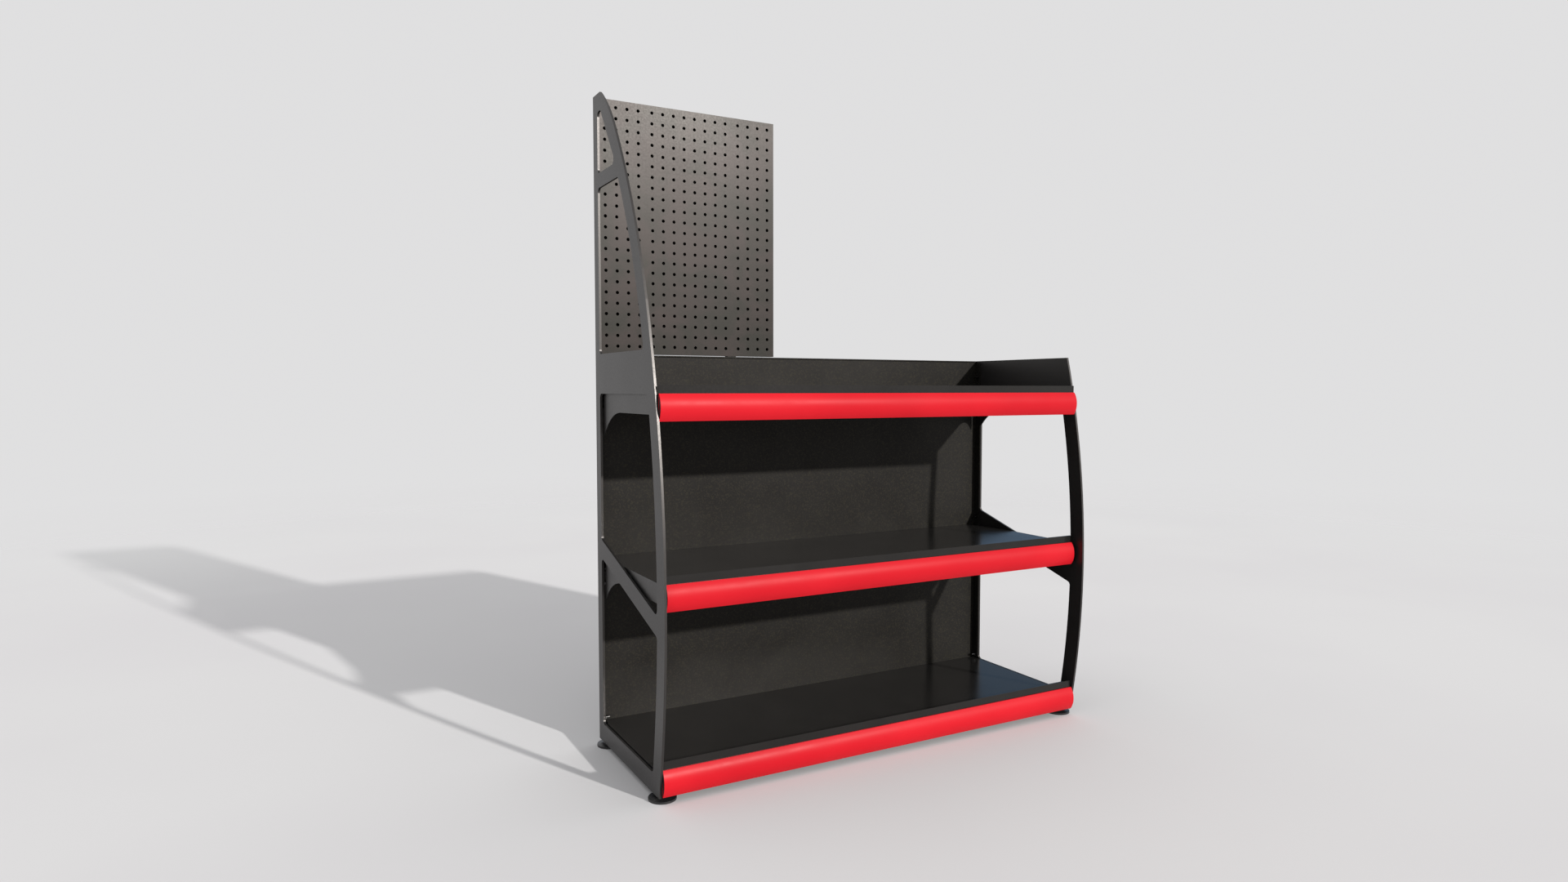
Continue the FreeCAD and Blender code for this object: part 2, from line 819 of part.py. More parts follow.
# how far in front of the plates' rear edges each shelf's side studs stand
STUD_DEPTHS = {"bottom": (300, 172, 44), "middle": (175, 110), "top": (322,)}


def deck(shelf):
    return dim(shelf + "_deck")


def lip_top(shelf):
    return deck(shelf) + (dim("bottom_lip_rise") if shelf == "bottom" else dim("lip_rise"))


def rail_top(shelf):
    return lip_top(shelf) - dim("lip_rise") + 1


def apron_bottom(shelf):
    return rail_top(shelf) - dim("rail_height")


def flange_height(shelf):
    return dim("bottom_end_flange") if shelf == "bottom" else dim("end_flange")


def bracket_height(shelf):
    return dim("bottom_bracket_height") if shelf == "bottom" else dim("bracket_height")


def bracket_span(side):
    near = dim("plate_sheet") + dim("bracket_gap")
    return x_span(side, near, near + dim("bracket_sheet"))


def tray_end():
    """Distance of the deck's ends from the outer faces of the side plates."""
    return dim("plate_sheet") + dim("bracket_gap") + dim("bracket_sheet")


def front_half(shelf):
    """Half the length of the front apron and the price rail."""
    return dim("bay_width") / 2 - dim(shelf + "_clearance")


def shelf_front(shelf):
    return behind(dim(shelf + "_front"))


def stud_places(shelf):
    """Y and z of the studs that carry a shelf at each end."""
    height = deck(shelf) - flange_height(shelf) / 2 - dim("shelf_sheet") / 2
    return [(behind(depth), height) for depth in STUD_DEPTHS[shelf]]


def rivet_places(shelf):
    """X and z of the rivets that hold a price rail to its apron."""
    height = rail_top(shelf) - dim("rail_height") / 2
    return [(fraction * front_half(shelf), height) for fraction in (-0.9, -0.3, 0.3, 0.9)]


def shelf_tray(shelf):
    """A folded tray: apron, doubled lip, deck, rear flange and an end flange at each side."""
    name = shelf + "_shelf"
    sheet = dim("shelf_sheet")
    front, (rear, _) = shelf_front(shelf), back_span()
    top = deck(shelf)
    half = front_half(shelf)
    deck_half = dim("bay_width") / 2 - tray_end()
    fold_half = dim("bay_width") / 2 - dim("fold_clearance")
    under = top - sheet
    hem = dim("hem_thickness")
    pieces = [
        box(name + "_apron", (-half, half), (front, front + sheet), (apron_bottom(shelf), lip_top(shelf))),
        box(name + "_lip_back", (-fold_half, fold_half), (front + hem - sheet, front + hem),
            (under, lip_top(shelf))),
        box(name + "_lip_crest", (-fold_half, fold_half), (front, front + hem),
            (lip_top(shelf) - sheet, lip_top(shelf))),
        box(name + "_return", (-fold_half, fold_half), (front, front + dim("apron_return")),
            (apron_bottom(shelf), apron_bottom(shelf) + sheet)),
        box(name + "_deck", (-deck_half, deck_half), (front + hem - sheet, rear), (under, top)),
    ]
    if shelf != "bottom":
        pieces.append(box(name + "_rear_flange", (-deck_half, deck_half), (rear - sheet, rear),
                          (top - dim("rear_flange"), top)))
    for side in ("left", "right"):
        pieces.append(box("%s_%s_flange" % (name, side), x_span(side, tray_end(), tray_end() + sheet),
                          (front + hem, rear), (top - flange_height(shelf), top)))
    tools = []
    for side in ("left", "right"):
        start, _ = x_span(side, tray_end(), tray_end() + sheet)
        for index, (y, z) in enumerate(stud_places(shelf)):
            tools.append(rod("%s_%s_hole_%d" % (name, side, index), "x", dim("stud_hole"), sheet,
                             start, y, z))
    for index, (x, z) in enumerate(rivet_places(shelf)):
        tools.append(rod("%s_rivet_hole_%d" % (name, index), "y", dim("rivet_radius"), sheet, x,
                         front, z))
    if shelf != "bottom":
        for index, (x, z) in enumerate(bolt_places(shelf)):
            tools.append(rod("%s_bolt_hole_%d" % (name, index), "y", dim("stud_radius"), sheet, x,
                             rear - sheet, z))
    return node(cut(name + "_drilled", fuse(name + "_folded", pieces), tools), name)


def shelf_stiffener(shelf):
    """A hat channel under the middle of the deck."""
    name = shelf + "_shelf_stiffener"
    sheet = dim("shelf_sheet")
    half = dim("bay_width") / 2 - tray_end() - dim("strip_inset")
    middle = behind(dim("stiffener_depth"))
    top = deck(shelf) - sheet
    low = top - dim("stiffener_height")
    reach = dim("stiffener_width") / 2
    foot = dim("stiffener_foot")
    pieces = [
        box(name + "_crown", (-half, half), (middle - reach, middle + reach), (low, low + sheet)),
        box(name + "_front_leg", (-half, half), (middle - reach, middle - reach + sheet), (low, top)),
        box(name + "_rear_leg", (-half, half), (middle + reach - sheet, middle + reach), (low, top)),
        box(name + "_front_foot", (-half, half), (middle - reach - foot, middle - reach + sheet),
            (top - sheet, top)),
        box(name + "_rear_foot", (-half, half), (middle + reach - sheet, middle + reach + foot),
            (top - sheet, top)),
    ]
    return node(fuse(name + "_hat", pieces), name)


def shelf_bracket(shelf, side):
    """The plate between shelf and side plate. Under the upper shelves it ends in a swept ear."""
    name = "%s_shelf_%s_bracket" % (shelf, side)
    front = shelf_front(shelf) + dim("shelf_sheet")
    rear = behind(dim("bracket_rear"))
    top = deck(shelf)
    low = top - bracket_height(shelf)
    outline = [(front, top), (front, low)]
    if shelf == "bottom":
        outline += [(rear, low)]
    else:
        outline += [
            (behind(dim("ear_start")), low, -dim("ear_radius")),
            (behind(dim("ear_tip")), top - dim("ear_drop")),
            (rear, top - dim("ear_drop")),
        ]
    outline += [(rear, top)]
    holes = [(y, z, dim("stud_hole")) for y, z in stud_places(shelf)]
    body, _ = padded(name + "_body", "YZ_Plane", [outline], holes, dim("bracket_sheet"))
    locate(body, bracket_span(side)[0], 0, 0)
    return node(body, name)


def shelf_fasteners():
    """Studs pressed into the side plates, with a spacer, and a nut inside each end flange."""
    studs = []
    spacers = []
    nuts = []
    for shelf in SHELVES:
        for side in ("left", "right"):
            plate = dim("plate_sheet")
            stud_x, _ = x_span(side, plate, plate + dim("stud_length"))
            spacer_x, _ = x_span(side, plate, plate + dim("bracket_gap"))
            seat = tray_end() + dim("shelf_sheet")
            nut_x, _ = x_span(side, seat, seat + dim("nut_height"))
            for index, (y, z) in enumerate(stud_places(shelf)):
                name = "%s_%s_%d" % (shelf, side, index)
                studs.append(rod("stud_" + name, "x", dim("stud_radius"), dim("stud_length"),
                                 stud_x, y, z))
                spacers.append(ring("spacer_" + name, dim("spacer_radius"), dim("bracket_gap"),
                                    spacer_x, y, z))
                nuts.append(nut("nut_" + name, "x", nut_x, y, z))
    node(group("shelf_stud_group", studs), "shelf_studs")
    node(group("shelf_spacer_group", spacers), "shelf_spacers")
    node(group("shelf_nut_group", nuts), "shelf_nuts")


def ring(name, radius, length, x, y, z):
    outer = rod(name + "_outer", "x", radius, length, x, y, z)
    inner = rod(name + "_inner", "x", dim("stud_radius"), length, x, y, z)
    return cut(name, outer, [inner])


def nut(name, axis, x, y, z):
    blank = hexagon(name + "_blank", axis, dim("nut_flats"), dim("nut_height"), x, y, z)
    bore = rod(name + "_bore", axis, dim("stud_radius"), dim("nut_height"), x, y, z)
    return cut(name, blank, [bore])


def wing_fasteners():
    """Studs and nuts that hold the wings of the back sheets and of the pegboard."""
    studs = []
    nuts = []
    seat = dim("plate_sheet") + dim("back_sheet")
    for panel, heights in WING_HEIGHTS.items():
        sides = ("left",) if panel == "pegboard_panel" else ("left", "right")
        for side in sides:
            nut_x, _ = x_span(side, seat, seat + dim("nut_height"))
            for index, height in enumerate(heights):
                name = "%s_%s_%d" % (panel, side, index)
                studs.append(wing_rod("stud_" + name, side, height, dim("stud_radius")))
                depth = dim("back_setback") + dim("back_wing") / 2
                nuts.append(nut("nut_" + name, "x", nut_x, behind(depth), height))
    node(group("back_stud_group", studs), "back_panel_studs")
    node(group("back_nut_group", nuts), "back_panel_nuts")


# ---------------------------------------------------------------- price rails

def rail_radius():
    """Radius of the bowed face, from its height and its bulge."""
    half = dim("rail_height") / 2
    bulge = dim("rail_bulge")
    return (half * half + bulge * bulge) / (2 * bulge)


def rail_outline():
    """A flat-backed profile with a bowed face, drawn around z = 0 with its back at y = 0."""
    half = dim("rail_height") / 2
    edge = -dim("rail_edge")
    return [(0, half), (edge, half, rail_radius()), (edge, -half), (0, -half)]


def price_rail(shelf):
    """A hollow extrusion along the shelf's front."""
    name = shelf + "_price_rail"
    back = shelf_front(shelf)
    loops = [rail_outline(), rail_inside(dim("rail_wall"))]
    body, _ = padded(name + "_body", "YZ_Plane", loops, [], 2 * front_half(shelf))
    locate(body, -front_half(shelf), back, rail_middle(shelf))
    holes = [rod("%s_hole_%d" % (name, index), "y", dim("rivet_radius"), dim("rail_wall"), x,
                 back - dim("rail_wall"), z)
             for index, (x, z) in enumerate(rivet_places(shelf))]
    return node(cut(name + "_drilled", body, holes), name)


def rail_inside(inset):
    """The inside of the rail, one wall in from its back and edges and an inset in from its bow."""
    wall = dim("rail_wall")
    half = dim("rail_height") / 2 - 2 * wall
    centre = rail_radius() - dim("rail_bulge") - dim("rail_edge")
    inner = rail_radius() - inset
    front = centre - square_root(inner * inner - half * half)
    return [(-wall, half), (front, half, inner), (front, -half), (-wall, -half)]


def rail_middle(shelf):
    return rail_top(shelf) - dim("rail_height") / 2


def rail_caps(shelf):
    """The closing plates pressed into both ends of a rail, flush with them."""
    caps = []
    for side in ("left", "right"):
        name = "%s_rail_%s_cap" % (shelf, side)
        outline = rail_inside(dim("rail_wall") + dim("cap_gap"))
        body, _ = padded(name, "YZ_Plane", [outline], [], dim("cap_sheet"))
        near = dim(shelf + "_clearance")
        start, _ = x_span(side, near, near + dim("cap_sheet"))
        caps.append(locate(body, start, shelf_front(shelf), rail_middle(shelf)))
    return node(group(shelf + "_rail_cap_group", caps), shelf + "_rail_end_caps")


def rail_rivets():
    """Blind rivets through apron and rail, with their heads inside the apron."""
    rivets = []
    for shelf in SHELVES:
        back = shelf_front(shelf)
        for index, (x, z) in enumerate(rivet_places(shelf)):
            name = "rivet_%s_%d" % (shelf, index)
            shank = rod(name + "_shank", "y", dim("rivet_radius"), dim("rail_wall") + dim("shelf_sheet"),
                        x, back - dim("rail_wall"), z)
            head = rod(name + "_head", "y", dim("rivet_head"), dim("rivet_head_height"), x,
                       back + dim("shelf_sheet"), z)
            rivets.append(fuse(name, [shank, head]))
    return node(group("rail_rivet_group", rivets), "rail_rivets")


# ---------------------------------------------------------------- levelling feet

CORNERS = ("front_left", "front_right", "rear_left", "rear_right")


def foot_centre(corner):
    end, side = corner.split("_")
    reach = dim("bay_width") / 2 - dim("foot_inset")
    return side_sign(side) * reach, behind(dim(end + "_foot_depth"))


def foot_pad(corner):
    """A round pad with a sloping crown and a socket in which the stem turns."""
    x, y = foot_centre(corner)
    name = "foot_pad_" + corner
    crown = DOC.addObject("Part::Cone", name + "_crown")
    bind(crown, "Radius1", dim("pad_radius"))
    bind(crown, "Radius2", dim("pad_neck"))
    bind(crown, "Height", dim("pad_dome"))
    locate(crown, x, y, dim("pad_rim"))
    rim = rod(name + "_rim", "z", dim("pad_radius"), dim("pad_rim"), x, y, 0)
    socket = rod(name + "_socket", "z", dim("stem_radius") + dim("running_gap"),
                 dim("pad_rim") + dim("pad_dome"), x, y, dim("stem_base"))
    return node(cut(name + "_cut", fuse(name + "_round", [rim, crown]), [socket]), name)


def foot_stem(corner):
    """A threaded stem, drawn at its outer diameter, with a screwdriver slot in its top."""
    x, y = foot_centre(corner)
    name = "foot_stem_" + corner
    base = dim("stem_base") + dim("running_gap")
    shank = rod(name + "_shank", "z", dim("stem_radius"), dim("stem_top") - base, x, y, base)
    slot_half = dim("post_wall") / 2
    slot = box(name + "_slot", (x - dim("stem_radius"), x + dim("stem_radius")),
               (y - slot_half, y + slot_half), (dim("stem_top") - dim("stem_base"), dim("stem_top")))
    return node(cut(name + "_slotted", shank, [slot]), name)


def foot_bracket(corner):
    """A plate welded inside the side plate, with a threaded boss for the stem."""
    x, y = foot_centre(corner)
    side = corner.split("_")[1]
    name = "foot_bracket_" + corner
    low = dim("foot_plate_low")
    high = low + dim("foot_plate_sheet")
    half = dim("foot_plate_length") / 2
    rear_limit = y + half
    if corner.startswith("rear"):
        rear_limit = behind(dim("back_setback"))
    across = x_span(side, dim("plate_sheet"), dim("plate_sheet") + dim("foot_plate_width"))
    plate = box(name + "_plate", across, (y - half, rear_limit), (low, high))
    boss = rod(name + "_boss", "z", dim("boss_radius"), dim("boss_height"), x, y, high)
    bore = rod(name + "_bore", "z", dim("stem_radius") + dim("running_gap"),
               dim("foot_plate_sheet") + dim("boss_height"), x, y, low)
    return node(cut(name + "_bored", fuse(name + "_solid", [plate, boss]), [bore]), name)


# ---------------------------------------------------------------- the whole bay

def build():
    for side in ("left", "right"):
        side_plate(side)
    split = dim("back_split")
    back_panel("lower_back_panel", dim("back_bottom"), split - dim("back_gap") / 2, False)
    back_panel("upper_back_panel", split + dim("back_gap") / 2, dim("right_top") - dim("hem_radius"),
               True)
    joint_strip()
    pegboard_panel()
    pegboard_cover()
    cover_screws()
    for side in ("left", "right"):
        peg_post(side)
    post_clamps()
    clamp_fasteners()
    rear_bolts()
    for shelf in SHELVES:
        shelf_tray(shelf)
        shelf_stiffener(shelf)
        for side in ("left", "right"):
            shelf_bracket(shelf, side)
        price_rail(shelf)
        rail_caps(shelf)
    rail_rivets()
    shelf_fasteners()
    wing_fasteners()
    for corner in CORNERS:
        foot_pad(corner)
        foot_stem(corner)
        foot_bracket(corner)
    DOC.recompute()


def check_and_write():
    failed = [item.Label for item in DOC.Objects if {"Invalid", "Error"} & set(item.State)]
    for piece in NODES:
        if piece.Shape.isNull() or not piece.Shape.isValid() or not piece.Shape.Solids:
            failed.append(piece.Label)
    if failed:
        raise RuntimeError("failed: " + ", ".join(failed))
    os.makedirs("parts", exist_ok=True)
    for piece in NODES:
        piece.Shape.exportStep("parts/%s.step" % piece.Label)
        bounds = piece.Shape.BoundBox
        print("%-32s solids %2d  x %7.1f %7.1f  y %7.1f %7.1f  z %7.1f %7.1f" % (
            piece.Label, len(piece.Shape.Solids), bounds.XMin, bounds.XMax, bounds.YMin, bounds.YMax,
            bounds.ZMin, bounds.ZMax))


fill_sheet()
# y of the side plates' rear edges; the bay's depth is centred on y = 0
REAR = (dim("bulge_depth") - (dim("peg_box") - dim("back_setback"))) / 2
build()
check_and_write()
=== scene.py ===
import json
import math

import bmesh
import bpy
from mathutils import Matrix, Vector


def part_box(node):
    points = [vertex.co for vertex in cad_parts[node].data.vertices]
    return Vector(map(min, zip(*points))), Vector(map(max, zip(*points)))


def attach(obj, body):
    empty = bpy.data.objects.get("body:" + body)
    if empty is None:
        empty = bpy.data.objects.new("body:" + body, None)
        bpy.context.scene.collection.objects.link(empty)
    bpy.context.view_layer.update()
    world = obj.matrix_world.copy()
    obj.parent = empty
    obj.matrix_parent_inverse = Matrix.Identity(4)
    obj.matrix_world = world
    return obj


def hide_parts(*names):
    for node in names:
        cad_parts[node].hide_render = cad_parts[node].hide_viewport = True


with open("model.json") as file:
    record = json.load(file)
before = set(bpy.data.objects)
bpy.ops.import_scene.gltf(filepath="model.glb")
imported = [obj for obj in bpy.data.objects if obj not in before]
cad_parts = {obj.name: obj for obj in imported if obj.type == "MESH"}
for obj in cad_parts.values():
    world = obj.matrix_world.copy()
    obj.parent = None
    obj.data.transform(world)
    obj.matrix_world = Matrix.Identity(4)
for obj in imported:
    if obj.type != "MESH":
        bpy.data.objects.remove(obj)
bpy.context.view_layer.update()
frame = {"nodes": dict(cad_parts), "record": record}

NODES = frame["nodes"]
MM = 0.001

# sockets of a Mix node that joins colours
MIX_FIRST, MIX_SECOND, MIX_RESULT = 6, 7, 2

# powder coat: how much its edges are rubbed and how far in, and how its gloss varies
EDGE_WEAR = 0.1
COAT_EDGE = 0.9 * MM
GLOSS_SMEAR = 0.012
GLOSS_GRAIN = 0.02
COAT_TINT = (1.0, 0.94, 0.90, 1.0)
# colour of the painted glints: specks that stand for the sun glinting on the coat's grain
PAINTED_GLINT = (0.055, 0.049, 0.028)
RIM_EDGE = 0.6 * MM

# how far the sheets' edges are rounded off, and the sharpest fold that counts as flat
PLATE_SOFTNESS = 0.5 * MM
TRAY_SOFTNESS = 0.4 * MM
RAIL_SOFTNESS = 0.3 * MM
BRACKET_SOFTNESS = 0.3 * MM
EDGE_SEGMENTS = 2
EDGE_ANGLE = math.radians(40)

FLOOR_RINGS = (1.0, 2.0, 4.0, 8.0, 16.0, 30.0)
FLOOR_SIDES = 96
FLOOR_DEEP = (0.588, 0.583, 0.593)
FLOOR_PALE = (0.608, 0.607, 0.612)
FLOOR_FADE = (1.4, 6.5)

SUN_TRAVEL = (-0.36, 0.87, -0.34)
SUN_ENERGY = 3.85
SUN_SPREAD = math.radians(1.6)
SUN_COLOUR = (1.0, 0.975, 0.945)

SKY = (0.745, 0.742, 0.747, 1.0)
BLUE_SKY = (0.17, 0.26, 0.38, 1.0)
BLUE_TOWARD = (0.72, 0.68, 0.12)
BLUE_EDGE = (0.72, 0.96)
MATT_LIFT = 0.09

SENSOR_WIDTH = 36.0
LENS = 21.73
CAMERA_PLACE = (-1.0959, -1.7124, 0.7402)
CAMERA_DOWN = 3.137
CAMERA_TURN = -28.694


# ---------------------------------------------------------------- node helpers

class Shader:
    """A material under construction: short ways to add and join its nodes."""

    def __init__(self, name):
        self.material = bpy.data.materials.new(name)
        self.material.use_nodes = True
        self.tree = self.material.node_tree
        self.tree.nodes.clear()
        self.output = self.add("ShaderNodeOutputMaterial")
        self.principled = self.add("ShaderNodeBsdfPrincipled")
        self.join(self.principled, "BSDF", self.output, "Surface")
        self.place = self.add("ShaderNodeTexCoord")

    def add(self, kind, **values):
        node = self.tree.nodes.new(kind)
        for key, value in values.items():
            setattr(node, key, value)
        return node

    def join(self, source, output, target, entry):
        self.tree.links.new(source.outputs[output], target.inputs[entry])

    def noise(self, scale, detail=3.0, roughness=0.5, stretch=None, distortion=0.0):
        """3-D noise in the object's own metres, one feature every 1/scale metres."""
        noise = self.add("ShaderNodeTexNoise")
        noise.inputs["Scale"].default_value = scale
        noise.inputs["Detail"].default_value = detail
        noise.inputs["Roughness"].default_value = roughness
        noise.inputs["Distortion"].default_value = distortion
        if stretch:
            mapping = self.add("ShaderNodeMapping")
            mapping.inputs["Scale"].default_value = stretch
            self.join(self.place, "Object", mapping, "Vector")
            self.join(mapping, "Vector", noise, "Vector")
        else:
            self.join(self.place, "Object", noise, "Vector")
        return noise

    def ramp(self, source, output, low, high, low_value=0.0, high_value=1.0):
        """A soft step: low_value below low, high_value above high."""
        step = self.add("ShaderNodeMapRange", interpolation_type="SMOOTHSTEP")
        step.inputs["From Min"].default_value = low
        step.inputs["From Max"].default_value = high
        step.inputs["To Min"].default_value = low_value
        step.inputs["To Max"].default_value = high_value
        self.join(source, output, step, "Value")
        return step

    def mix(self, factor, first, second):
        """Colour first to second by a factor node; either colour may be a node."""
        mix = self.add("ShaderNodeMix", data_type="RGBA")
        self.tree.links.new(factor.outputs[0], mix.inputs[0])
        for socket, colour in ((MIX_FIRST, first), (MIX_SECOND, second)):
            if isinstance(colour, tuple):
                mix.inputs[socket].default_value = (*colour, 1.0)
            else:
                self.tree.links.new(colour.outputs[MIX_RESULT], mix.inputs[socket])
        return mix

    def paint_with(self, colour, rough):
        """Give the shader its colour node and, if there is one, its roughness node."""
        self.tree.links.new(colour.outputs[MIX_RESULT], self.principled.inputs["Base Color"])
        if rough:
            self.tree.links.new(rough.outputs[0], self.principled.inputs["Roughness"])

    def sums(self, *terms):
        """The sum of several value nodes."""
        total = terms[0]
        for term in terms[1:]:
            add = self.add("ShaderNodeMath", operation="ADD")
            self.tree.links.new(total.outputs[0], add.inputs[0])
            self.tree.links.new(term.outputs[0], add.inputs[1])
            total = add
        return total

    def edge_mask(self, radius):
        """1 on the outer edges within a radius, 0 on the flats, broken up by noise."""
        bevel = self.add("ShaderNodeBevel", samples=4)
        bevel.inputs["Radius"].default_value = radius
        facing = self.add("ShaderNodeNewGeometry")
        dot = self.add("ShaderNodeVectorMath", operation="DOT_PRODUCT")
        self.join(bevel, "Normal", dot, 0)
        self.join(facing, "Normal", dot, 1)
        edge = self.ramp(dot, "Value", 0.80, 0.985, 1.0, 0.0)
        patches = self.ramp(self.noise(60.0, 4.0, 0.65), "Fac", 0.42, 0.62)
        mask = self.add("ShaderNodeMath", operation="MULTIPLY")
        self.tree.links.new(edge.outputs[0], mask.inputs[0])
        self.tree.links.new(patches.outputs[0], mask.inputs[1])
        return mask

    def bump(self, *layers):
        """Bump layers of (height node, output, strength, distance), the finest first."""
        last = None
        for source, output, strength, distance in layers:
            bump = self.add("ShaderNodeBump")
            bump.inputs["Strength"].default_value = strength
            bump.inputs["Distance"].default_value = distance
            self.join(source, output, bump, "Height")
            if last:
                self.join(last, "Normal", bump, "Normal")
            last = bump
        self.join(last, "Normal", self.principled, "Normal")


def powder_coat(name, deep, pale, rough, spec, grain=0.6, patch=5.5, glint_paint=0.0):
    """Textured powder coat: clouds from a deep to a pale tone, patch of them to the metre, orange peel
    by its grain, olive-gold specks painted in as the sun's glints on the grain, and slightly rubbed
    edges."""
    shader = Shader(name)
    clouds = shader.ramp(shader.noise(patch, 5.0, 0.6, distortion=0.6), "Fac", 0.32, 0.68)
    colour = shader.mix(clouds, deep, pale)
    if glint_paint:
        # painted glints: random olive-gold specks in the colour stand for the sun glinting on the grain
        painted_glint_mask = shader.ramp(shader.noise(300.0, 3.0, 0.7), "Fac", 0.50, 0.64, 0.0, glint_paint)
        colour = shader.mix(painted_glint_mask, colour, PAINTED_GLINT)
    rubbed = shader.add("ShaderNodeMath", operation="MULTIPLY")
    shader.tree.links.new(shader.edge_mask(COAT_EDGE).outputs[0], rubbed.inputs[0])
    rubbed.inputs[1].default_value = EDGE_WEAR
    colour = shader.mix(rubbed, colour, tuple(0.07 + 2.0 * tone for tone in pale))
    smears = shader.ramp(shader.noise(7.0, 5.0, 0.6), "Fac", 0.3, 0.7,
                         rough - GLOSS_SMEAR, rough + GLOSS_SMEAR)
    fine = shader.ramp(shader.noise(240.0, 2.0, 0.5), "Fac", 0.3, 0.7, -GLOSS_GRAIN, GLOSS_GRAIN)
    shader.paint_with(colour, shader.sums(smears, fine))
    shader.principled.inputs["Specular IOR Level"].default_value = spec
    shader.principled.inputs["Specular Tint"].default_value = COAT_TINT
    shader.bump((shader.noise(420.0, 2.0, 0.6), "Fac", 0.30 * grain, 0.15 * MM),
                (shader.noise(110.0, 2.0), "Fac", 0.10 * grain, 0.40 * MM))
    return shader.material


def rail_plastic(name):
    """Extruded plastic: saturated red with faint draw lines along its length and light scuffs."""
    shader = Shader(name)
    tone = shader.ramp(shader.noise(4.0, 3.0, 0.5), "Fac", 0.3, 0.7)
    colour = shader.mix(tone, (0.44, 0.0075, 0.014), (0.50, 0.0095, 0.017))
    scuff = shader.ramp(shader.noise(55.0, 5.0, 0.7, (0.25, 1.0, 1.0)), "Fac", 0.66, 0.80, 0.0, 0.22)
    colour = shader.mix(scuff, colour, (0.56, 0.03, 0.035))
    lines = shader.noise(380.0, 3.0, 0.6, (0.004, 1.0, 1.0))
    rough = shader.ramp(shader.noise(14.0, 5.0, 0.65, (0.5, 1.0, 1.0)), "Fac", 0.3, 0.72, 0.34, 0.46)
    shader.paint_with(colour, rough)
    shader.principled.inputs["Specular IOR Level"].default_value = 0.09
    shader.bump((lines, "Fac", 0.10, 0.10 * MM), (shader.noise(260.0, 2.0), "Fac", 0.05, 0.10 * MM))
    return shader.material


def moulded_black(name):
    """Black nylon: a faint moulded grain, half gloss, paler along its rims."""
    shader = Shader(name)
    tone = shader.ramp(shader.noise(40.0, 4.0, 0.6), "Fac", 0.35, 0.7)
    colour = shader.mix(tone, (0.010, 0.010, 0.011), (0.022, 0.021, 0.021))
    colour = shader.mix(shader.edge_mask(RIM_EDGE), colour, (0.06, 0.06, 0.06))
    shader.paint_with(colour, shader.ramp(shader.noise(120.0, 3.0), "Fac", 0.3, 0.7, 0.26, 0.36))
    shader.bump((shader.noise(1100.0, 2.0), "Fac", 0.3, 0.08 * MM))
    return shader.material


def zinc(name):
    """Black zinc plate, rubbed a little brighter in patches."""
    shader = Shader(name)
    shader.principled.inputs["Metallic"].default_value = 1.0
    tone = shader.ramp(shader.noise(140.0, 3.0, 0.6), "Fac", 0.3, 0.7)
    colour = shader.mix(tone, (0.045, 0.045, 0.046), (0.10, 0.098, 0.092))
    shader.paint_with(colour, shader.ramp(shader.noise(300.0, 3.0), "Fac", 0.3, 0.7, 0.26, 0.42))
    shader.bump((shader.noise(900.0, 2.0), "Fac", 0.15, 0.05 * MM))
    return shader.material


# ---------------------------------------------------------------- object finishes

def paint(node, material):
    """Put one material on the whole of a CAD node."""
    slots = NODES[node].material_slots
    if not slots:
        NODES[node].data.materials.append(material)
    for entry in slots:
        entry.material = material


def soften(node, width):
    """Round off a sheet's sharp edges a little, as a blasted and coated edge is."""
    bevel = NODES[node].modifiers.new("edge", "BEVEL")
    bevel.width = width
    bevel.segments = EDGE_SEGMENTS
    bevel.limit_method = "ANGLE"
    bevel.angle_limit = EDGE_ANGLE
    bevel.use_clamp_overlap = True
    bevel.harden_normals = True


def finish_nodes():
    """Coat every CAD node by its material slot, and give back the zinc that the stems need too."""
    plate = powder_coat("side_plate_coat", (0.0105, 0.0101, 0.0101), (0.0145, 0.0138, 0.0137),
                        0.37, 0.55)
    shelf = powder_coat("shelf_coat", (0.0095, 0.0092, 0.0088), (0.0130, 0.0124, 0.0119),
                        0.22, 0.26, grain=0.35)
    # the back coat carries the painted glints of the sun on its grain
    back = powder_coat("back_coat", (0.0095, 0.0090, 0.0084), (0.0140, 0.0133, 0.0122),
                       0.42, 0.11, grain=1.3, glint_paint=0.24)
    peg = powder_coat("pegboard_coat", (0.0190, 0.0195, 0.0160), (0.0340, 0.0262, 0.0245),
                      0.345, 0.158, grain=0.5, patch=11.0)
    hidden = powder_coat("primer", (0.015, 0.015, 0.0155), (0.026, 0.026, 0.0265), 0.60, 0.5)
    plated = zinc("zinc_plate")
    by_slot = {
        "charcoal_steel": shelf,
        "back_steel": back,
        "pegboard_steel": peg,
        "dark_hidden_steel": hidden,
        "red_rail": rail_plastic("red_rail"),
        "black_plastic": moulded_black("moulded_black"),
        "zinc_steel": plated,
    }
    slots = {part["node"]: part["material_slot"] for part in frame["record"]["subparts"]}
    for node, name in slots.items():
        plate_like = "side_plate" in node or "bracket" in node
        paint(node, plate if plate_like else by_slot[name])
    for side in ("left", "right"):
        soften(side + "_side_plate", PLATE_SOFTNESS)
    for shelf_name in ("bottom", "middle", "top"):
        soften(shelf_name + "_shelf", TRAY_SOFTNESS)
        soften(shelf_name + "_price_rail", RAIL_SOFTNESS)
        for side in ("left", "right"):
            soften("%s_shelf_%s_bracket" % (shelf_name, side), BRACKET_SOFTNESS)
    return plated


# ---------------------------------------------------------------- threaded stems

THREAD_PITCH = 1.25 * MM
THREAD_DEPTH = 0.75 * MM
CREST_SLOPE = 1.6
ROWS_PER_PITCH = 4
STEM_SIDES = 28
SLOT_HALF_WIDTH = 0.75 * MM
SLOT_DEPTH = 2.0 * MM
SLOT_LENGTH = 20 * MM


